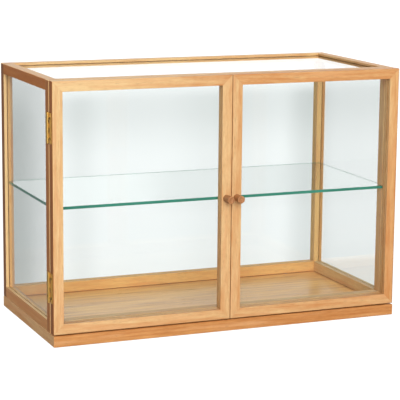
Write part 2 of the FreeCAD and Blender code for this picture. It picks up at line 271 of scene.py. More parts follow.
def board_places(points, along, seed):
    """Board coordinates of points: along the grain first, then twice across it from the pith.

    Each board has its own pith, a few centimetres off its middle in a seeded direction.
    """
    random = np.random.default_rng(seed)
    across = [axis for axis in (X, Y, Z) if axis != along]
    middle = (points.min(axis=0) + points.max(axis=0)) / 2
    angle = random.uniform(0, 2 * math.pi)
    pith = random.uniform(*PITH_RANGE) * np.array([math.cos(angle), math.sin(angle)])
    places = np.empty_like(points)
    places[:, 0] = points[:, along] + random.uniform(*START_RANGE)
    places[:, 1:] = points[:, across] - middle[across] + pith
    return places


def add_board_places(piece, along, seed, front, side, cast=0.0, painted_lip_tone=None, painted_side_cast=None, drift=0.0):
    """Give a piece the attributes that the oak reads: board places, tone, drift and golden cast.

    The tone of each face is painted light and shade, set by which way the face looks: front is the
    tone of faces to the front, back, top and bottom, lip that of those outside the side panes,
    painted lighter or darker as light falls on that strip, and side that of faces to the sides,
    mostly painted darker as shade. With x the normal's X and s = 2 x^2 - 1, not under 0, a face
    has front + s (side - front), and the cast goes over to the side cast in the same way; on the
    faces to the sides that cast is painted warm shade. From one end of the board to the other,
    left to right or bottom to top, the tone rises by the drift.
    """
    mesh = piece.data
    points = rows_of(mesh.vertices, "co").astype(float)
    places = mesh.attributes.new("board", "FLOAT_VECTOR", "POINT")
    places.data.foreach_set("vector", board_places(points, along, seed).astype(np.float32).ravel())
    ends = points[:, along]
    share = (ends - ends.min()) / np.ptp(ends)
    mesh.attributes.new("drift", "FLOAT", "POINT").data.foreach_set("value", drift * (share - 0.5))
    # Painted light and shade: each face's tone and cast follow which way it looks and whether it lies
    # outside the side panes
    sideways = np.clip(2 * rows_of(mesh.polygons, "normal")[:, X] ** 2 - 1, 0, 1)
    outside = np.abs(rows_of(mesh.polygons, "center")[:, X]) > node_box("right_glass")[1][X]
    facing = np.where(outside, front if painted_lip_tone is None else painted_lip_tone, front)
    golden = cast + sideways * ((cast if painted_side_cast is None else painted_side_cast) - cast)
    for name, values in (("tone", facing + sideways * (side - facing)), ("cast", golden)):
        shown = mesh.attributes.new(name, "FLOAT", "FACE")
        shown.data.foreach_set("value", values.astype(np.float32))


class Board:
    """Where a straight oak member lies: its long axis, its two cross axes and a way to count each.

    Its origin is the corner of the CAD node's box where all three counts start.
    """

    def __init__(self, node, along, across, ways):
        low, high = node_box(node)
        self.node = node
        self.along = along
        self.origin = np.where(np.array(ways) > 0, low, high)
        self.steps = [ways[axis] * AXES[axis] for axis in (along, *across)]
        self.size = high - low
        self.length, self.width, self.thickness = self.size[[along, *across]]

    def ring(self, outline, height):
        """World points of an outline (u, v) at a distance h along the board: origin + h g + u a + v b.

        The distance is the same for all points, or one for each of them.
        """
        g, a, b = self.steps
        height = np.broadcast_to(height, len(outline))[:, None]
        return self.origin + height * g + outline[:, :1] * a + outline[:, 1:] * b

    def distance(self, axis, value):
        """A world coordinate as a distance from the board's origin."""
        return abs(value - self.origin[axis])


def board_rings(board, stations, radii, mitre):
    """Rings along a board: rounded ends, and the outlines of the stations between them.

    A station is a distance along the board and its outline there. A mitre moves both ends in by
    its slope times the distance from the board's first side.
    """
    size = np.array([board.width, board.thickness])
    depths = END_STEPS * max(radii)
    rings = []
    for depth in depths:
        outline = pulled_in(stations[0][1], size, radii, depth)
        rings.append(board.ring(outline, depth + mitre * outline[:, 0]))
    for height, outline in stations:
        if 0 < height < board.length:
            rings.append(board.ring(outline, height))
    for depth in depths[::-1]:
        outline = pulled_in(stations[-1][1], size, radii, depth)
        rings.append(board.ring(outline, board.length - depth - mitre * outline[:, 0]))
    return rings


def make_board(board, stations, radii, mitre, body, tones_and_painted_shade):
    """The visible oak member that stands for its CAD node."""
    points, faces = carried(board_rings(board, stations, radii, mitre))
    piece = new_piece("oak_" + board.node, points, faces, [oak_material()], body)
    # The tones given here paint each face's light and shade
    add_board_places(piece, board.along, sum(map(ord, board.node)), **tones_and_painted_shade)
    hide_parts(board.node)


def groove(face, first, last, depth, vertical):
    """Corners of a groove in a straight side, from first to last along it, going in by depth.

    The points are (u, v), and the side is at v = face, or at u = face where it is vertical.
    """
    corners = [(first, face), (first, face - depth), (last, face - depth), (last, face)]
    if vertical:
        return [(v, u) for u, v in corners]
    return corners


def pane_cut(pane, board, thin_axis, deep_axis):
    """First edge, last edge and depth of the groove that a pane needs in a board.

    The edges are distances along the thin axis from the board's origin. The depth goes along the
    deep axis, from the side of the board that faces the pane.
    """
    low, high = node_box(pane)
    faces = (low[thin_axis] - PANE_PLAY, high[thin_axis] + PANE_PLAY)
    ends = (low[deep_axis] - PANE_END_PLAY, high[deep_axis] + PANE_END_PLAY)
    first, last = sorted(board.distance(thin_axis, face) for face in faces)
    reach = min(board.distance(deep_axis, end) for end in ends)
    return first, last, board.size[deep_axis] - reach


# Nodes


def feed(tree, socket, value):
    """Link an input to another node's output, or set it to a plain value."""
    if isinstance(value, bpy.types.NodeSocket):
        tree.links.new(value, socket)
    else:
        socket.default_value = value


def place(tree, kind, values=(), **properties):
    """A new node with its properties, and its inputs given as values or as sockets to link."""
    made = tree.nodes.new(kind)
    for name, value in properties.items():
        setattr(made, name, value)
    for key, value in dict(values).items():
        feed(tree, made.inputs[key], value)
    return made


def maths(tree, operation, *values, clamp=False):
    """Result of a Math node."""
    how = {"operation": operation, "use_clamp": clamp}
    return place(tree, "ShaderNodeMath", dict(enumerate(values)), **how).outputs[0]


def product(tree, *values):
    """All the values multiplied with each other."""
    return reduce(lambda one, other: maths(tree, "MULTIPLY", one, other), values)


def total(tree, *values):
    """All the values added up."""
    return reduce(lambda one, other: maths(tree, "ADD", one, other), values)


def stretched(tree, vector, scale):
    """A vector with its three parts scaled, each by its own number."""
    made = place(tree, "ShaderNodeVectorMath", {0: vector, 1: scale}, operation="MULTIPLY")
    return made.outputs[0]


def dotted(tree, vector, other):
    """Dot product of two vectors."""
    made = place(tree, "ShaderNodeVectorMath", {0: vector, 1: other}, operation="DOT_PRODUCT")
    return made.outputs["Value"]


def noise(tree, vector, scale, detail=2.0, roughness=0.5):
    """Smooth noise from 0 to 1 at a place."""
    values = {"Vector": vector, "Scale": scale, "Detail": detail, "Roughness": roughness}
    return place(tree, "ShaderNodeTexNoise", values, noise_dimensions="3D").outputs["Fac"]


def ranged(tree, value, low, high, to_low=0.0, to_high=1.0, kind="LINEAR"):
    """A value between low and high brought to the range to_low to to_high, and held at its ends."""
    ends = {"From Min": low, "From Max": high, "To Min": to_low, "To Max": to_high}
    how = {"interpolation_type": kind, "clamp": True}
    return place(tree, "ShaderNodeMapRange", {"Value": value, **ends}, **how).outputs["Result"]


def eased(tree, value, low, high, to_low=0.0, to_high=1.0):
    """As ranged, with a gentle start and stop."""
    return ranged(tree, value, low, high, to_low, to_high, "SMOOTHSTEP")


def blended(tree, share, first, second, how="MIX"):
    """Two colours mixed, with a share of the second: sockets 6, 7 and 2 are the node's colours."""
    values = {0: share, 6: first, 7: second}
    return place(tree, "ShaderNodeMix", values, data_type="RGBA", blend_type=how).outputs[2]


def new_group(name, inputs, outputs):
    """An empty node group, the sockets that it is given and the sockets that it puts out.

    An input with no value of its own is a vector. All the others are numbers.
    """
    group = bpy.data.node_groups.new(name, "ShaderNodeTree")
    for label, value in inputs.items():
        kind = "NodeSocketVector" if value is None else "NodeSocketFloat"
        socket = group.interface.new_socket(label, in_out="INPUT", socket_type=kind)
        if value is not None:
            socket.default_value = value
    for label in outputs:
        group.interface.new_socket(label, in_out="OUTPUT", socket_type="NodeSocketFloat")
    given = group.nodes.new("NodeGroupInput").outputs
    return group, given, group.nodes.new("NodeGroupOutput").inputs


def use_group(tree, group, values):
    """Outputs of a node group placed in a material with its own values."""
    return place(tree, "ShaderNodeGroup", values, node_tree=group).outputs


def oak_figure():
    """Node group: growth rings, streaks, pores and slow changes of tone in oak.

    Its Board input has the grain along X and the pith on the X axis. With r the distance from
    the pith, bent by slow noise, and p the fraction of r / spacing, a ring is p to its power,
    times a gentle fall from 1 to 0 near p = 1. Streaks and pores are noise drawn out along X.
    """
    if "oak figure" in bpy.data.node_groups:
        return bpy.data.node_groups["oak figure"]
    inputs = {"Board": None, "Ring spacing": 0.0035, "Waviness": 0.004, "Streak width": 0.0045}
    outputs = ("Rings", "Streaks", "Pores", "Tone", "Warmth", "Height")
    tree, given, wanted = new_group("oak figure", inputs, outputs)
    board = given["Board"]
    bend = noise(tree, stretched(tree, board, BEND_SCALE), 1.0)
    bend = product(tree, maths(tree, "SUBTRACT", bend, 0.5), given["Waviness"])
    leaning = stretched(tree, board, RING_STRETCH)
    radius = place(tree, "ShaderNodeVectorMath", {0: leaning}, operation="LENGTH").outputs["Value"]
    ring = maths(tree, "DIVIDE", total(tree, radius, bend), given["Ring spacing"])
    phase = maths(tree, "FRACT", ring)
    rings = product(tree, maths(tree, "POWER", phase, RING_POWER), eased(tree, phase, *RING_FALL))
    drawn_out = stretched(tree, board, STREAK_STRETCH)
    streaks = noise(tree, drawn_out, maths(tree, "DIVIDE", 1.0, given["Streak width"]), 4.0, 0.75)
    streaks = ranged(tree, streaks, *STREAK_RANGE)
    # Pores are fewer in the late wood
    fine = noise(tree, stretched(tree, board, PORE_SCALE), 1.0)
    pores = product(tree, ranged(tree, fine, *PORE_RANGE), ranged(tree, rings, *PORES_IN_RING))
    tone = noise(tree, stretched(tree, board, TONE_SCALE), 1.0, 3.0, 0.55)
    warmth = noise(tree, stretched(tree, board, WARMTH_SCALE), 1.0)
    results = {
        "Rings": rings,
        "Streaks": streaks,
        "Pores": pores,
        "Tone": ranged(tree, tone, *TONE_RANGE),
        "Warmth": ranged(tree, warmth, *WARMTH_RANGE),
        "Height": maths(tree, "SUBTRACT", product(tree, streaks, STREAK_HEIGHT), pores),
    }
    for name, value in results.items():
        tree.links.new(value, wanted[name])
    return tree


def handling_marks():
    """Node group: faint smears and dust where hands and cloths have passed, noise at two sizes."""
    if "handling marks" in bpy.data.node_groups:
        return bpy.data.node_groups["handling marks"]
    tree, given, wanted = new_group("handling marks", {"Place": None, "Size": 30.0}, ("Marks",))
    broad = noise(tree, given["Place"], given["Size"], 3.0, 0.6)
    fine = noise(tree, given["Place"], product(tree, given["Size"], MARKS_FINER))
    fine = total(tree, ranged(tree, fine, *FINE_MARKS), MARKS_LEAST)
    tree.links.new(product(tree, ranged(tree, broad, *BROAD_MARKS), fine), wanted["Marks"])
    return tree


# Materials


def rgba(colour):
    """A colour with its alpha, as a socket takes it."""
    return (*colour, 1.0)


def known(name, make):
    """The material of this name, which make finishes the first time that it is asked for."""
    if name not in bpy.data.materials:
        material = bpy.data.materials.new(name)
        material.use_nodes = True
        make(material.node_tree, material.node_tree.nodes["Principled BSDF"])
    return bpy.data.materials[name]


def object_places(tree, location=(0, 0, 0), rotation=(0, 0, 0)):
    """Object coordinates, moved and turned by a Mapping node."""
    source = tree.nodes.new("ShaderNodeTexCoord").outputs["Object"]
    values = {"Vector": source, "Location": location, "Rotation": rotation}
    return place(tree, "ShaderNodeMapping", values).outputs[0]


def finish_oak(
    tree, shader, board, pale, deep, grain, gloss, tone=PLAIN_TONE, cast=None, strength=1.0, relief=0.35
):
    """Colour, sheen and pores of an oak surface, from its board coordinates.

    The share of the deep colour is the tone, which on the frame carries painted light and shade,
    plus the weighted parts of the figure, less their middle. Warm patches and dark pores go over it.
    """
    sizes = dict(zip(("Ring spacing", "Waviness", "Streak width"), grain))
    figure = use_group(tree, oak_figure(), {"Board": board, **sizes})
    parts = [product(tree, figure[name], weight * strength) for name, weight in FIGURE_WEIGHTS]
    share = total(tree, maths(tree, "SUBTRACT", tone, FIGURE_MIDDLE * strength), *parts)
    wood = blended(tree, maths(tree, "MAXIMUM", share, 0.0), rgba(pale), rgba(deep))
    warmth = product(tree, figure["Warmth"], WARM_SHARE * strength)
    wood = blended(tree, warmth, wood, rgba(settings().oak_warm))
    # The cast warms the colour, as painted shade on faces to the sides, and a tone over 1 darkens it as
    # painted shade
    if cast is not None:
        over = maths(tree, "SUBTRACT", tone, 1.0, clamp=True)
        wood = blended(tree, cast, wood, GOLDEN, "MULTIPLY")
        wood = blended(tree, over, wood, SHADED, "MULTIPLY")
    pores = product(tree, figure["Pores"], PORE_SHARE)
    wood = blended(tree, pores, wood, rgba(settings().oak_pore))
    tree.links.new(wood, shader.inputs["Base Color"])
    rough = ranged(tree, figure["Streaks"], 0.0, 1.0, gloss + ROUGHER, gloss - SMOOTHER)
    tree.links.new(rough, shader.inputs["Roughness"])
    shader.inputs["Specular IOR Level"].default_value = 0.5
    bump = {"Height": figure["Height"], "Strength": relief, "Distance": PORE_DEPTH}
    tree.links.new(place(tree, "ShaderNodeBump", bump).outputs[0], shader.inputs["Normal"])


def oak_material():
    """Oiled oak of the frame, which reads the attributes of each board."""

    def make(tree, shader):
        board, tone, drift, cast = (
            place(tree, "ShaderNodeAttribute", attribute_name=name).outputs
            for name in ("board", "tone", "drift", "cast")
        )
        # The tone and cast attributes paint each face's light and shade
        tone = total(tree, tone["Fac"], drift["Fac"])
        chosen = settings()
        colours = (chosen.oak_pale, chosen.oak_deep)
        gloss = chosen.oak_gloss
        finish_oak(tree, shader, board["Vector"], *colours, FRAME_GRAIN, gloss, tone, cast["Fac"])

    return known("oiled oak", make)


def plinth_material(name, turn, shift):
    """Oak of a plinth member: along X in the plinth's colours, or turned along Y in the frame's paler
    ones, as painted light.
    """

    def make(tree, shader):
        chosen = settings()
        colours = (chosen.plinth_pale, chosen.plinth_deep)
        if turn:
            colours = (chosen.oak_pale, chosen.oak_deep)
        board = object_places(tree, shift, (0, 0, turn))
        finish_oak(tree, shader, board, *colours, FRAME_GRAIN, chosen.oak_gloss)

    return known(name, make)


def veneer_material():
    """Crown-cut oak veneer of the floor panel, with a broad figure and the grain along X."""

    def make(tree, shader):
        chosen = settings()
        board = object_places(tree, VENEER_PLACE)
        colours = (chosen.veneer_pale, chosen.veneer_deep)
        gloss = chosen.veneer_gloss
        finish_oak(tree, shader, board, *colours, VENEER_GRAIN, gloss, strength=1.5, relief=0.08)

    return known("oak veneer", make)


def knob_material(side):
    """Turned knob: grain along the knob, end grain on its tip, redder than the frame."""

    def make(tree, shader):
        chosen = settings()
        low, high = node_box(f"{side}_knob")
        middle = (low + high) / 2
        start, aside, above = KNOB_PLACE
        shift = (start + middle[Y], middle[X] + aside, above - middle[Z])
        board = object_places(tree, shift, (0, 0, QUARTER_TURN))
        colours = (chosen.knob_pale, chosen.knob_deep)
        finish_oak(tree, shader, board, *colours, KNOB_GRAIN, chosen.oak_gloss)

    return known(f"turned {side} knob", make)


def beech_material():
    """Plain pale wood of dowels and splines, never seen when the cabinet is together."""

    def make(tree, shader):
        fleck = noise(tree, stretched(tree, object_places(tree), FLECK_SCALE), 1.0)
        wood = blended(tree, ranged(tree, fleck, *FLECK_RANGE), BEECH_PALE, BEECH_DEEP)
        tree.links.new(wood, shader.inputs["Base Color"])
        shader.inputs["Roughness"].default_value = 0.65

    return known("plain beech", make)


def glass_material(name, tint):
    """Clear glass that lets lamps and scattered light through to what is behind it."""

    def make(tree, shader):
        shader.inputs["Base Color"].default_value = rgba(tint)
        shader.inputs["Transmission Weight"].default_value = 1.0
        shader.inputs["IOR"].default_value = 1.5
        marks = use_group(tree, handling_marks(), {"Place": object_places(tree), "Size": 9.0})["Marks"]
        tree.links.new(ranged(tree, marks, 0.0, 1.0, 0.0, GLASS_HAZE), shader.inputs["Roughness"])
        clear = place(tree, "ShaderNodeBsdfTransparent", {"Color": rgba(tint)})
        path = tree.nodes.new("ShaderNodeLightPath").outputs
        passing = maths(tree, "MAXIMUM", path["Is Shadow Ray"], path["Is Diffuse Ray"])
        shares = {0: passing, 1: shader.outputs[0], 2: clear.outputs[0]}
        both = place(tree, "ShaderNodeMixShader", shares)
        tree.links.new(both.outputs[0], tree.nodes["Material Output"].inputs["Surface"])

    return known(name, make)


def edge_material():
    """Polished edge of the shelf: the green of thick glass, with faint grinding lines along it."""

    def make(tree, shader):
        places = object_places(tree)
        lines = noise(tree, stretched(tree, places, LINE_SCALE), 1.0, 3.0)
        cloud = noise(tree, places, CLOUD_SCALE)
        parts = (ranged(tree, part, *EDGE_RANGE, 0.0, EDGE_SHARE) for part in (lines, cloud))
        share = total(tree, *parts)
        green = blended(tree, share, rgba(settings().edge_deep), rgba(settings().edge_bright))
        tree.links.new(green, shader.inputs["Base Color"])
        rough = ranged(tree, lines, *EDGE_RANGE, *EDGE_ROUGHNESS)
        tree.links.new(rough, shader.inputs["Roughness"])
        shader.inputs["Coat Weight"].default_value = 0.15
        shader.inputs["Coat Roughness"].default_value = 0.05

    return known("shelf edge", make)


def metal_material(name, pale, deep, rough, brush, bare=1.0):
    """Rolled or plated metal: fine brushing along Z, and tarnish in patches and in the brushing."""

    def make(tree, shader):
        places = object_places(tree)
        marks = use_group(tree, handling_marks(), {"Place": places, "Size": 140.0})["Marks"]
        lines = noise(tree, stretched(tree, places, BRUSH_SCALE), 1.0, 3.0)
        parts = (product(tree, lines, BRUSH_TARNISH), product(tree, marks, MARK_TARNISH))
        share = maths(tree, "ADD", *parts, clamp=True)
        tree.links.new(blended(tree, share, rgba(pale), rgba(deep)), shader.inputs["Base Color"])
        dulled = ranged(tree, share, 0.0, 1.0, rough, rough + TARNISH_ROUGHNESS)
        tree.links.new(dulled, shader.inputs["Roughness"])
        shader.inputs["Metallic"].default_value = bare
        bump = {"Height": lines, "Strength": brush, "Distance": BRUSH_DEPTH}
        tree.links.new(place(tree, "ShaderNodeBump", bump).outputs[0], shader.inputs["Normal"])

    return known(name, make)


def finish_nodes(names, material):
    """Give CAD nodes that stay in view their finish."""
    for name in names:
        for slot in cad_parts[name].material_slots:
            slot.material = material


# Sizes and colours that a user would change


def colour(name, description, value):
    """A colour property."""
    return bpy.props.FloatVectorProperty(
        name=name, description=description, default=value, subtype="COLOR", size=3, min=0.0, max=1.0
    )


def length(name, description, value):
    """A property in metres."""
    unit = {"unit": "LENGTH", "subtype": "DISTANCE", "precision": 5}
    return bpy.props.FloatProperty(name=name, description=description, default=value, min=0.0, **unit)


def number(name, description, value, low=0.0, high=10.0):
    """A property without a unit."""
    return bpy.props.FloatProperty(name=name, description=description, default=value, min=low, max=high)


class CabinetSettings(bpy.types.PropertyGroup):
    """Sizes and finishes of the cabinet."""

    outer_arris: length("Outer arris", "Radius of the eased outside arrises", 1.7 * MM)
    post_arris: length("Post arris", "Radius of the posts' arrises behind the doors", 2.2 * MM)
    inner_arris: length("Inner arris", "Radius of the arrises towards the glass", 0.45 * MM)
    meeting_arris: length("Meeting arris", "Radius of the arrises where the doors meet", 0.7 * MM)
    open_arris: length("Open arris", "Radius of the rails' arrises round the top pane", 1.1 * MM)
    floor_gap: length("Floor gap", "Height of the shadow gap between bottom rails and floor", 1.4 * MM)
    top_gap: length("Top gap", "Shadow gap between the top pane and the groove above it", 0.5 * MM)
    joint_ease: length("Joint ease", "Radius of board ends where they meet other boards", 0.18 * MM)
    shelf_polish: length("Shelf polish", "Radius of the shelf's ground edges", 0.12 * MM)
    oak_pale: colour("Oak, pale", "Early wood", (0.785, 0.53, 0.25))
    oak_deep: colour("Oak, deep", "Late wood", (0.58, 0.24, 0.071))
    oak_warm: colour("Oak, warm", "Redder patches", (0.70, 0.36, 0.15))
    oak_pore: colour("Oak pores", "Open pores", (0.24, 0.11, 0.04))
    oak_gloss: number("Oak roughness", "Roughness of the oiled oak", 0.48, 0.1, 1.0)
    plinth_pale: colour("Plinth, pale", "Early wood of the plinth", (0.69, 0.32, 0.094))
    plinth_deep: colour("Plinth, deep", "Late wood of the plinth", (0.46, 0.155, 0.031))
    veneer_pale: colour("Veneer, pale", "Early wood of the floor", (1.0, 0.61, 0.23))
    veneer_deep: colour("Veneer, deep", "Late wood of the floor", (0.80, 0.41, 0.142))
    veneer_gloss: number("Veneer roughness", "Roughness of the floor panel", 0.32, 0.1, 1.0)
    knob_pale: colour("Knob, pale", "Early wood of the knobs", (0.54, 0.24, 0.085))
    knob_deep: colour("Knob, deep", "Late wood of the knobs", (0.26, 0.09, 0.03))
    pane_tint: colour("Pane tint", "What a pane lets through", (0.95, 0.975, 0.97))
    shelf_tint: colour("Shelf tint", "What the shelf lets through", (0.955, 0.985, 0.975))
    edge_bright: colour("Shelf edge, bright", "Edge of the shelf where light gathers", (0.05, 0.30, 0.20))
    edge_deep: colour("Shelf edge, deep", "Edge of the shelf in its depth", (0.02, 0.17, 0.115))
    brass_pale: colour("Brass, pale", "Bare brass", (1.0, 0.64, 0.185))
    brass_deep: colour("Brass, deep", "Tarnished brass", (0.62, 0.33, 0.06))
    floor_light: colour("Floor", "Pale floor around the cabinet", (0.14, 0.14, 0.14))
    floor_far: colour("Floor, shaded", "Floor in the soft shade behind the cabinet", (0.08, 0.08, 0.08))
    floor_glow: number("Floor glow", "Light that the floor gives off by itself", 1.01)
    key_power: number("Key light", "Strength of the broad light from beside the camera", 2.62, 0.0, 100.0)
    top_power: number("Top light", "Strength of the broad light from above", 0.6, 0.0, 100.0)


class CABINET_OT_posts(bpy.types.Operator):
    """Make the four posts, with pane grooves, shelf slots and the corner that takes the top pane."""

    bl_idname = "cabinet.posts"
    bl_label = "Posts"
    bl_options = {"REGISTER", "UNDO"}

    # Tones and casts of each post's faces: the side and lip tones and the casts paint light and shade on
    # the faces by which way they look
    TONES_AND_PAINTED_SHADE = {
        "front_left": {"front": 0.5, "side": 1.5, "painted_lip_tone": -1.5, "painted_side_cast": 0.6},
        "front_right": {"front": 0.5, "side": 0.45},
        "back_left": {"front": 0.8, "side": 1.95, "painted_lip_tone": -0.2, "painted_side_cast": 0.1},
        "back_right": {"front": -0.8, "side": -0.3, "cast": 0.5, "painted_lip_tone": 0.9},
    }

    def outline(self, board, side_cut, back_cut, slot=None, corner=None):
        """Section of a post, counted from its outer corner, with the cuts that it has at some height.

        A cut without depth leaves its points on the side, so all the outlines of a post have the
        same points. The shelf's slot goes right through a front post, and ends in a back post.
        """
        chosen = settings()
        width, depth = board.width, board.thickness
        first, last, deep = side_cut
        corners = [(0, 0), (width, 0)]
        if back_cut is not None:
            corners += groove(width, *back_cut, True)
        inner = len(corners)
        corners += [(width, depth), *groove(depth, last, first, deep, False), (0, depth)]
        radii = [0.0] * len(corners)
        radii[0] = chosen.post_arris if back_cut is None else chosen.outer_arris
        radii[1] = chosen.outer_arris if back_cut is None else chosen.joint_ease
        radii[inner] = chosen.inner_arris
        radii[-1] = chosen.joint_ease
        points = rounded(corners, radii)
        start = sum(ARC_STEPS + 1 if radius else 1 for radius in radii[:inner])
        bend = slice(start, start + ARC_STEPS + 1)
        if slot is not None:
            reach, stop = slot
            if stop is None:
                points[points[:, 0] > reach, 0] = reach
            else:
                self.notch(points, bend, width, depth, reach, stop)
        if corner is not None:
            self.notch(points, bend, width, depth, *corner)
        return points

    @staticmethod
    def notch(points, bend, width, depth, reach, stop):
        """Turn the inner corner's points into an inward corner at (reach, stop)."""
        points[bend] = (reach, stop)
        points[bend.start] = (width, stop)
        points[bend.stop - 1] = (reach, depth)

    def execute(self, context):
        chosen = settings()
        end_radii = (chosen.outer_arris, chosen.outer_arris, chosen.joint_ease, chosen.joint_ease)
        shelf_low, shelf_high = node_box("glass_shelf")
        top_low, top_high = node_box("top_glass")
        for end, way, top_edge in (("front", 1, top_low), ("back", -1, top_high)):
            for name, side in SIDES:
                board = Board(f"{end}_{name}_post", Z, (X, Y), (-side, way, 1))
                pane_low, pane_high = node_box(f"{name}_glass")
                side_cut = pane_cut(f"{name}_glass", board, X, Y)
                side_shut = (*side_cut[:2], 0.0)
                back_cut = back_shut = stop = None
                if end == "back":
                    back_cut = pane_cut("back_glass", board, Y, X)
                    back_shut = (*back_cut[:2], 0.0)
                    stop = board.distance(Y, shelf_high[Y] + SHELF_PLAY)
                slot = (board.distance(X, side * (shelf_high[X] + SHELF_PLAY)), stop)
                corner = (
                    board.distance(X, side * (top_high[X] + PANE_END_PLAY)),
                    board.distance(Y, top_edge[Y] - way * PANE_END_PLAY),
                )
                plain = self.outline(board, side_shut, back_shut)
                grooved = self.outline(board, side_cut, back_cut)
                slotted = self.outline(board, side_cut, back_cut, slot=slot)
                cornered = self.outline(board, side_shut, back_shut, corner=corner)
                stations = [(0.0, plain)]
                for height, below, above in (
                    (pane_low[Z] - PANE_END_PLAY, plain, grooved),
                    (shelf_low[Z], grooved, slotted),
                    (shelf_high[Z] + SHELF_PLAY, slotted, grooved),
                    (pane_high[Z] + PANE_END_PLAY, grooved, plain),
                    (top_low[Z] - PANE_PLAY, plain, cornered),
                    (top_high[Z] + PANE_PLAY, cornered, plain),
                ):
                    station = board.distance(Z, height)
                    stations += [(station, below), (station, above)]
                stations.append((board.length, plain))
                make_board(board, stations, end_radii, 0, "carcass", self.TONES_AND_PAINTED_SHADE[f"{end}_{name}"])
        return {"FINISHED"}


class CABINET_OT_rails(bpy.types.Operator):
    """Make the top and bottom rails between the posts, grooved for the panes."""

    bl_idname = "cabinet.rails"
    bl_label = "Rails"
    bl_options = {"REGISTER", "UNDO"}

    FLOOR_GAP_DEPTH = 5 * MM
    ENDS = {"front": (X, 1), "back": (X, -1), "left": (Y, 1), "right": (Y, -1)}
    # Tones and casts of each rail's faces: the side and lip tones and the casts paint light and shade on
    # the faces by which way they look
    TONES_AND_PAINTED_SHADE = {
        "bottom": {
            "front": {"front": 0.4, "side": 0.5},
            "back": {"front": 0.15, "side": 0.3, "cast": 0.6},
            "left": {"front": 0.5, "side": 0.95, "painted_lip_tone": -0.3},
            "right": {"front": -0.3, "side": 0.0},
        },
        "top": {
            "front": {"front": 0.4, "side": 0.5},
            "back": {"front": 0.2, "side": 0.4, "cast": 0.15},
            "left": {"front": 0.4, "side": 1.36, "painted_side_cast": 1.0},
            "right": {"front": 0.4, "side": 0.4, "cast": 0.2},
        },
    }

    def top_outline(self, board, inward, pane):
        """Section from the outer bottom corner: pane's groove below, top pane's groove inside."""
        chosen = settings()
        width, height = board.width, board.thickness
        corners, radii = [(0, 0)], [chosen.joint_ease]
        if pane:
            first, last, depth = pane_cut(pane, board, inward, Z)
            deep = height - depth
            corners += [(first, 0), (first, deep), (last, deep), (last, 0)]
            radii += [0] * 4
        low, high, depth = pane_cut("top_glass", board, Z, inward)
        corners += [(width, 0), *groove(width, low, high + chosen.top_gap, depth, True)]
        corners += [(width, height), (0, height)]
        radii += [chosen.inner_arris, 0, 0, 0, 0, chosen.open_arris, chosen.outer_arris]
        return rounded(corners, radii)

    def bottom_outline(self, board, inward, pane):
        """Section from the outer bottom corner: gap over the floor inside, pane's groove on top."""
        chosen = settings()
        width, height = board.width, board.thickness
        inset, gap = width - self.FLOOR_GAP_DEPTH, chosen.floor_gap
        corners = [(0, 0), (inset, 0), (inset, gap), (width, gap), (width, height)]
        radii = [chosen.outer_arris, 0, 0, 0, chosen.inner_arris]
        if pane:
            first, last, depth = pane_cut(pane, board, inward, Z)
            corners += groove(height, last, first, depth, False)
            radii += [0] * 4
        return rounded([*corners, (0, height)], [*radii, chosen.inner_arris])

    def execute(self, context):
        ease = (settings().joint_ease,) * 4
        for level, outline_of in (("bottom", self.bottom_outline), ("top", self.top_outline)):
            for end, (along, way) in self.ENDS.items():
                inward = Y if along == X else X
                ways = [1, 1, 1]
                ways[inward] = way
                board = Board(f"{level}_{end}_rail", along, (inward, Z), ways)
                outline = outline_of(board, inward, None if end == "front" else f"{end}_glass")
                stations = [(0.0, outline), (board.length, outline)]
                make_board(board, stations, ease, 0, "carcass", self.TONES_AND_PAINTED_SHADE[level][end])
        return {"FINISHED"}


class CABINET_OT_doors(bpy.types.Operator):
    """Make the mitred members of both doors, grooved for their panes."""

    bl_idname = "cabinet.doors"
    bl_label = "Door frames"
    bl_options = {"REGISTER", "UNDO"}

    MITRE = 1
    # Tones and casts of each door member's faces, and their drift: the side and lip tones and the casts
    # paint light and shade on the faces
    TONES_AND_PAINTED_SHADE = {
        "left": {
            "bottom_rail": {"front": 0.58, "side": 0.65},
            "hinge_stile": {"front": 0.32, "side": 1.72, "painted_side_cast": 0.9, "drift": -0.18},
            "top_rail": {"front": 0.26, "side": 0.4, "drift": 0.88},
            "meeting_stile": {"front": 0.5, "side": 0.6, "drift": -0.34},
        },
        "right": {
            "bottom_rail": {"front": 0.7, "side": 0.7, "drift": -0.1},
            "hinge_stile": {"front": 0.69, "side": 0.5, "cast": 0.2, "painted_lip_tone": 1.3, "drift": -0.36},
            "top_rail": {"front": 0.81, "side": 0.8, "cast": 0.2},
            "meeting_stile": {"front": 0.55, "side": 0.7},
        },
    }

    def execute(self, context):
        chosen = settings()
        ease = (chosen.joint_ease,) * 4
        inner = chosen.inner_arris
        for name, side in SIDES:
            for part, along, inward, ways in (
                ("bottom_rail", X, Z, (1, 1, 1)),
                ("top_rail", X, Z, (1, 1, -1)),
                ("hinge_stile", Z, X, (-side, 1, 1)),
                ("meeting_stile", Z, X, (side, 1, 1)),
            ):
                board = Board(f"{name}_door_{part}", along, (inward, Y), ways)
                width, depth = board.width, board.thickness
                cut = groove(width, *pane_cut(f"{name}_door_glass", board, Y, inward), True)
                corners = [(0, 0), (width, 0), *cut, (width, depth), (0, depth)]
                outer = chosen.meeting_arris if part == "meeting_stile" else chosen.outer_arris
                outline = rounded(corners, [outer, inner, 0, 0, 0, 0, inner, outer])
                stations = [(0.0, outline), (board.length, outline)]
                make_board(board, stations, ease, self.MITRE, f"{name}_door", self.TONES_AND_PAINTED_SHADE[name][part])
        return {"FINISHED"}


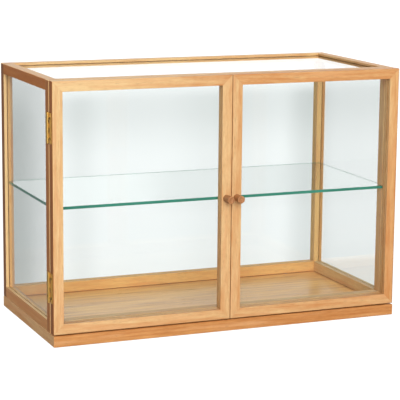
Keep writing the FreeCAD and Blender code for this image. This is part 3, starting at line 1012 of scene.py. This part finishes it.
class CABINET_OT_base(bpy.types.Operator):
    """Finish the plinth members and the veneered floor panel."""

    bl_idname = "cabinet.base"
    bl_label = "Plinth and floor"
    bl_options = {"REGISTER", "UNDO"}

    # Each member's turn, and where it lies in its own board
    MEMBERS = (
        ("plinth_front", 0.0, (5.0, 0.17, 0.05)),
        ("plinth_back", 0.0, (9.0, -0.10, 0.04)),
        # The sides, turned along Y, take the frame's paler oak colours: painted light and sheen, paler
        # and less red than the front and back
        ("plinth_left", QUARTER_TURN, (13.0, -0.26, 0.06)),
        ("plinth_right", QUARTER_TURN, (17.0, 0.36, 0.05)),
    )

    def execute(self, context):
        for name, turn, shift in self.MEMBERS:
            finish_nodes([name], plinth_material("oak " + name, turn, shift))
        finish_nodes(["floor_panel"], veneer_material())
        return {"FINISHED"}


class CABINET_OT_panes(bpy.types.Operator):
    """Finish the six panes."""

    bl_idname = "cabinet.panes"
    bl_label = "Panes"
    bl_options = {"REGISTER", "UNDO"}

    PANES = ("left", "right", "back", "top", "left_door", "right_door")

    def execute(self, context):
        names = [f"{pane}_glass" for pane in self.PANES]
        finish_nodes(names, glass_material("pane glass", settings().pane_tint))
        return {"FINISHED"}


class CABINET_OT_shelf(bpy.types.Operator):
    """Make the glass shelf with ground and polished edges.

    With r the polish and t from 0 to 90 degrees, the rings rise by r (1 - cos t) from the
    underside, pulled in by r (1 - sin t), and the same in reverse under the top.
    """

    bl_idname = "cabinet.shelf"
    bl_label = "Glass shelf"
    bl_options = {"REGISTER", "UNDO"}

    def execute(self, context):
        chosen = settings()
        low, high = node_box("glass_shelf")
        radius = chosen.shelf_polish
        turn = np.linspace(0, QUARTER_TURN, ARC_STEPS + 1)
        up = radius * (1 - np.cos(turn))
        inset = radius * (1 - np.sin(np.concatenate([turn, turn[::-1]])))[:, None, None]
        corners = [(low[X], low[Y]), (high[X], low[Y]), (high[X], high[Y]), (low[X], high[Y])]
        outline = rounded(corners, [radius] * 4)
        rings = np.empty((len(inset), len(outline), 3))
        rings[:, :, :2] = np.clip(outline, low[:2] + inset, high[:2] - inset)
        rings[:, :, 2] = np.concatenate([low[Z] + up, high[Z] - up[::-1]])[:, None]
        points, faces = carried(rings)
        kinds = [1] * (len(faces) - 2) + [0, 0]
        finishes = [glass_material("shelf glass", chosen.shelf_tint), edge_material()]
        piece = new_piece("glass_shelf_polished", points, faces, finishes, "carcass", kinds)
        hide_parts("glass_shelf")
        return {"FINISHED"}


class CABINET_OT_knobs(bpy.types.Operator):
    """Turn the two knobs.

    A profile point (r, h) becomes the ring middle + r (cos a, sin a), at the distance h from the door.
    """

    bl_idname = "cabinet.knobs"
    bl_label = "Knobs"
    bl_options = {"REGISTER", "UNDO"}

    # Radius as a share of the knob's, and distance from the door as a share of its length
    PROFILE = (
        (0.0, 0.0),
        (0.93, 0.0),
        (0.965, 0.012),
        (0.97, 0.05),
        (0.985, 0.35),
        (1.0, 0.7),
        (1.0, 0.93),
        (0.985, 0.968),
        (0.94, 0.99),
        (0.87, 1.0),
        (0.64, 1.0),
        (0.59, 0.99),
        (0.52, 0.956),
        (0.44, 0.94),
        (0.2, 0.934),
        (0.0, 0.932),
    )
    AROUND = 48

    def execute(self, context):
        shares = np.array(self.PROFILE)
        angles = np.arange(self.AROUND) / self.AROUND * 2 * math.pi
        for name, _ in SIDES:
            low, high = node_box(f"{name}_knob")
            middle = (low + high) / 2
            radius, reach = (high - low)[X] / 2, (high - low)[Y]
            rings = np.empty((len(shares), self.AROUND, 3))
            rings[:, :, X] = middle[X] + radius * shares[:, :1] * np.cos(angles)
            rings[:, :, Y] = (high[Y] - reach * shares[:, 1])[:, None]
            rings[:, :, Z] = middle[Z] + radius * shares[:, :1] * np.sin(angles)
            points, faces = carried(rings)
            finish = [knob_material(name)]
            piece = new_piece(f"turned_{name}_knob", points, faces, finish, f"{name}_door")
            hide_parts(f"{name}_knob")
        return {"FINISHED"}


class CABINET_OT_hardware(bpy.types.Operator):
    """Finish hinges, screws, catches and the hidden joinery."""

    bl_idname = "cabinet.hardware"
    bl_label = "Hinges, screws and joinery"
    bl_options = {"REGISTER", "UNDO"}

    # Bare and tarnished colour, roughness and depth of the brushing
    ZINC = ((0.62, 0.63, 0.65), (0.38, 0.38, 0.38), 0.3, 0.2)
    NICKEL = ((0.66, 0.63, 0.58), (0.40, 0.38, 0.34), 0.18, 0.1)
    # The hinge screws' brass is painted nearly black: painted shade of the screw heads in their
    # countersinks
    SHADE_PAINTED_SCREW_BRASS = ((0.13, 0.06, 0.012), (0.05, 0.022, 0.006), 0.4, 0.2)
    # Roughness of the brass, depth of its brushing, and how far it is bare metal
    BRASS = (0.32, 0.3, 0.92)

    def execute(self, context):
        colours = (settings().brass_pale, settings().brass_deep)
        brass = metal_material("rolled brass", *colours, *self.BRASS)
        zinc = metal_material("zinc plating", *self.ZINC)
        nickel = metal_material("nickel plating", *self.NICKEL)
        dull = metal_material("screw brass painted dark as shade", *self.SHADE_PAINTED_SCREW_BRASS)
        beech = beech_material()
        by_ending = {
            "_leaf": brass,
            "_hinge_pin": brass,
            # The hinge screws are painted dark as the shade in their countersinks
            "_hinge_screws": dull,
            "knob_screw": zinc,
            "plinth_screws": zinc,
            "_discs": nickel,
            "_magnets": nickel,
            "_dowels": beech,
            "_splines": beech,
        }
        for ending, material in by_ending.items():
            names = [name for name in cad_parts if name.endswith(ending)]
            if not names:
                raise RuntimeError(f"no node's name ends in {ending}")
            finish_nodes(names, material)
        return {"FINISHED"}


class CABINET_OT_stage(bpy.types.Operator):
    """Set up the pale floor, the soft light and the camera."""

    bl_idname = "cabinet.stage"
    bl_label = "Stage"
    bl_options = {"REGISTER", "UNDO"}

    FLOOR_REACH = 60.0

    # Along each line on the floor that fans out from below the camera, f stays the same, and at
    # a place p it is f = (leftwards . p - shift) / (y + back)
    FAN_LEFTWARDS = (-0.954, 0.299, 0)
    FAN_SHIFT = 0.258
    FAN_BACK = 2.7

    # Edges of the zone of shade behind the cabinet, in f and in y, each from none to full
    ZONE_EDGES = (((0.004, -0.002), (-0.236, -0.229)), ((0.0, 0.12), (3.25, 2.75)))
    # Steps of shade in y: far off, near by to the right of an edge in f, and just behind the cabinet
    FAR_SHADE = (1.5, 2.6, 0.0, 0.24)
    NEAR_SHADE, NEAR_EDGE = (0.31, 0.26, 0.0, 0.27), (-0.178, -0.186)
    BACK_SHADE = (0.48, 0.37, 0.0, 0.05)
    # Bands of shade: middle, half width and depth in f, and one in y to the right of an edge in f
    BANDS = ((-0.017, 0.016, 0.17), (-0.112, 0.045, 0.16), (-0.170, 0.022, 0.36))
    CROSS_BAND, CROSS_EDGE = (0.95, 0.16, 0.06), (-0.055, -0.085)

    # The zone to the left of it: its depth, its edges, and how it fades far off
    LEFT_DEPTH = 0.62
    LEFT_EDGES = (((0.0, 0.022), (0.030, 0.0262)), ((0.12, 0.35), (4.15, 3.8)))
    LEFT_FADE = (3.7, 2.2, 0.35, 1.0)

    # Glow of the floor in the shade, as scattered light and as mirrored light
    SHADE_GLOW = (0.415, 0.447, 0.428, 1)
    SCATTERED_GLOW = (0.36, 0.36, 0.36, 1)
    MIRRORED_GLOW = (0.13, 0.13, 0.13, 1)

    # Light of the sky everywhere, and its glows: their way, start and end of their edge, strength
    SKY_LIGHT = 0.06
    SKY_GLOWS = (
        ((0.37, 0.92, 0.15), 0.65, 0.97, 1.25),
        ((0.0, 0.0, 1.0), 0.25, 1.0, 0.12),
        ((0.0, -0.95, 0.30), 0.4, 1.0, 0.35),
        ((-0.93, -0.25, 0.27), 0.35, 1.0, 0.33),
    )
    # The grey patch: steps of its depth and its right edge in x / y, and its edges in z
    PATCH_STEPS = ((0.362, 0.400, 0.0, 0.25), (0.464, 0.494, 0.0, 0.17))
    PATCH_RIGHT = (0.508, 0.498)
    PATCH_HEIGHTS = ((0.142, 0.153), (0.213, 0.196))

    SUN_SPREAD = math.radians(40)
    SUN_TARGET = Vector((0, 0, 0.2))
    KEY_PLACE = Vector((-0.55, -2.4, 1.25))
    TOP_PLACE = Vector((0.2, 0.4, 2.4))
    BOUNCES, CLEAR_BOUNCES = 24, 32

    CAMERA_PLACE = (-1.1166, -2.69783, 0.75304)
    YAW, PITCH, ROLL = 0.392443, 0.186236, 0.00922125
    FOCAL_PIXELS, IMAGE_PIXELS = 1681.68, 400
    SENSOR = 36.0

    def shade(self, tree, places):
        """How deep in shade a point of the floor is, from 0 to 1.

        The photo's floor is white beside the cabinet and shaded behind its panes. With y the
        point's Y and f as given above, the same along each line that fans out from below the
        camera, the shade is the larger of two zones with soft edges in f and y: one behind the
        cabinet, where steps and bands in f and y add up, and one to the left of it.
        """
        y = place(tree, "ShaderNodeSeparateXYZ", {0: places}).outputs["Y"]
        leftwards = dotted(tree, places, self.FAN_LEFTWARDS)
        leftwards = maths(tree, "SUBTRACT", leftwards, self.FAN_SHIFT)
        fan = maths(tree, "DIVIDE", leftwards, total(tree, y, self.FAN_BACK))

        def edges(pairs):
            return [eased(tree, value, *pair) for value, both in zip((fan, y), pairs) for pair in both]

        def band(value, middle, half, depth):
            off = maths(tree, "ABSOLUTE", maths(tree, "SUBTRACT", value, middle))
            return eased(tree, off, half, 0.0, 0.0, depth)

        fade = eased(tree, y, *self.LEFT_FADE)
        left = product(tree, *edges(self.LEFT_EDGES), fade, self.LEFT_DEPTH)
        depth = total(
            tree,
            eased(tree, y, *self.FAR_SHADE),
            *(band(fan, *sizes) for sizes in self.BANDS),
            product(tree, band(y, *self.CROSS_BAND), eased(tree, fan, *self.CROSS_EDGE)),
            product(tree, eased(tree, y, *self.NEAR_SHADE), eased(tree, fan, *self.NEAR_EDGE)),
            eased(tree, y, *self.BACK_SHADE),
        )
        return maths(tree, "MAXIMUM", left, product(tree, depth, *edges(self.ZONE_EDGES)))

    def floor(self):
        """A white floor with its soft shade, which glows less in mirrors and by scattered light."""
        chosen = settings()
        reach = self.FLOOR_REACH
        corners = [(-reach, -reach, 0), (reach, -reach, 0), (reach, reach, 0), (-reach, reach, 0)]
        mesh = bpy.data.meshes.new("floor")
        mesh.from_pydata(corners, [], [[0, 1, 2, 3]])
        floor = bpy.data.objects.new("floor", mesh)
        bpy.context.scene.collection.objects.link(floor)

        def make(tree, shader):
            path = tree.nodes.new("ShaderNodeLightPath").outputs
            mirrored = maths(tree, "MINIMUM", path["Glossy Depth"], 1.0)
            scattered = maths(tree, "MINIMUM", path["Diffuse Depth"], 1.0)
            away = self.shade(tree, object_places(tree))
            away = maths(tree, "MAXIMUM", away, maths(tree, "MAXIMUM", mirrored, scattered))
            paint = blended(tree, away, rgba(chosen.floor_light), rgba(chosen.floor_far))
            tree.links.new(paint, shader.inputs["Base Color"])
            shader.inputs["Roughness"].default_value = 0.9
            shader.inputs["Specular IOR Level"].default_value = 0.1
            glow = blended(tree, away, (1, 1, 1, 1), self.SHADE_GLOW)
            glow = blended(tree, scattered, glow, self.SCATTERED_GLOW)
            glow = blended(tree, mirrored, glow, self.MIRRORED_GLOW)
            tree.links.new(glow, shader.inputs["Emission Color"])
            shader.inputs["Emission Strength"].default_value = chosen.floor_glow

        mesh.materials.append(known("studio floor", make))

    def sky(self):
        """Soft light from all round, most from behind, with a grey patch that the top pane mirrors.

        With w the way out, a glow is an eased step of w . t, where t is the way to the glow.
        """
        world = bpy.data.worlds.new("soft studio")
        bpy.context.scene.world = world
        world.use_nodes = True
        tree = world.node_tree
        way = tree.nodes.new("ShaderNodeTexCoord").outputs["Generated"]
        light = self.SKY_LIGHT
        for towards, low, high, amount in self.SKY_GLOWS:
            glow = eased(tree, dotted(tree, way, towards), low, high, 0.0, amount)
            light = total(tree, light, glow)
        along = place(tree, "ShaderNodeSeparateXYZ", {0: way}).outputs
        turned = maths(tree, "DIVIDE", along["X"], maths(tree, "MAXIMUM", along["Y"], 0.05))
        patch = product(
            tree,
            total(tree, *(eased(tree, turned, *step) for step in self.PATCH_STEPS)),
            eased(tree, turned, *self.PATCH_RIGHT),
            *(eased(tree, along["Z"], *edge) for edge in self.PATCH_HEIGHTS),
        )
        background = tree.nodes["Background"]
        background.inputs["Color"].default_value = (1, 1, 1, 1)
        tree.links.new(maths(tree, "SUBTRACT", light, patch), background.inputs["Strength"])

    def sun(self, name, power, location):
        """Broad light from a side, towards the cabinet, unseen by the camera and through glass."""
        data = bpy.data.lights.new(name, "SUN")
        data.energy = power
        data.angle = self.SUN_SPREAD
        sun = bpy.data.objects.new(name, data)
        sun.location = location
        sun.rotation_euler = (self.SUN_TARGET - location).to_track_quat("-Z", "Y").to_euler()
        sun.visible_camera = False
        sun.visible_transmission = False
        bpy.context.scene.collection.objects.link(sun)

    def camera(self):
        """Camera from the fitted pose: forward from yaw and pitch, then rolled about the view."""
        level = np.array([math.cos(self.YAW), -math.sin(self.YAW), 0.0])
        ahead = np.array([math.sin(self.YAW), math.cos(self.YAW), 0.0])
        forward = math.cos(self.PITCH) * ahead - math.sin(self.PITCH) * AXES[Z]
        upright = np.cross(level, forward)
        turned = np.eye(4)
        turned[:3, 0] = math.cos(self.ROLL) * level + math.sin(self.ROLL) * upright
        turned[:3, 1] = math.cos(self.ROLL) * upright - math.sin(self.ROLL) * level
        turned[:3, 2] = -forward
        turned[:3, 3] = self.CAMERA_PLACE
        data = bpy.data.cameras.new("camera")
        data.sensor_width = self.SENSOR
        data.lens = self.FOCAL_PIXELS / self.IMAGE_PIXELS * self.SENSOR
        camera = bpy.data.objects.new("camera", data)
        camera.matrix_world = Matrix(turned.tolist())
        bpy.context.scene.collection.objects.link(camera)
        bpy.context.scene.camera = camera

    def execute(self, context):
        scene = bpy.context.scene
        scene.view_settings.view_transform = "Standard"
        scene.cycles.max_bounces = self.BOUNCES
        scene.cycles.transmission_bounces = self.BOUNCES
        scene.cycles.transparent_max_bounces = self.CLEAR_BOUNCES
        scene.cycles.caustics_refractive = False
        scene.cycles.caustics_reflective = False
        self.floor()
        self.sky()
        self.sun("key", settings().key_power, self.KEY_PLACE)
        self.sun("top", settings().top_power, self.TOP_PLACE)
        self.camera()
        return {"FINISHED"}


OPERATORS = (
    CABINET_OT_posts,
    CABINET_OT_rails,
    CABINET_OT_doors,
    CABINET_OT_base,
    CABINET_OT_panes,
    CABINET_OT_shelf,
    CABINET_OT_knobs,
    CABINET_OT_hardware,
    CABINET_OT_stage,
)


class CABINET_PT_pieces(bpy.types.Panel):
    """The cabinet's pieces in the sidebar."""

    bl_label = "Display cabinet"
    bl_idname = "CABINET_PT_pieces"
    bl_space_type = "VIEW_3D"
    bl_region_type = "UI"
    bl_category = "Cabinet"

    def draw(self, context):
        for operator in OPERATORS:
            self.layout.operator(operator.bl_idname)
        for name in CabinetSettings.__annotations__:
            self.layout.prop(context.scene.cabinet, name)


CLASSES = (CabinetSettings, *OPERATORS, CABINET_PT_pieces)


def register():
    for item in CLASSES:
        bpy.utils.register_class(item)
    bpy.types.Scene.cabinet = bpy.props.PointerProperty(type=CabinetSettings)


def unregister():
    del bpy.types.Scene.cabinet
    for item in reversed(CLASSES):
        bpy.utils.unregister_class(item)


def main():
    """Make every piece."""
    register()
    for operator in OPERATORS:
        group, name = operator.bl_idname.split(".")
        getattr(getattr(bpy.ops, group), name)()


if __name__ == "__main__":
    main()
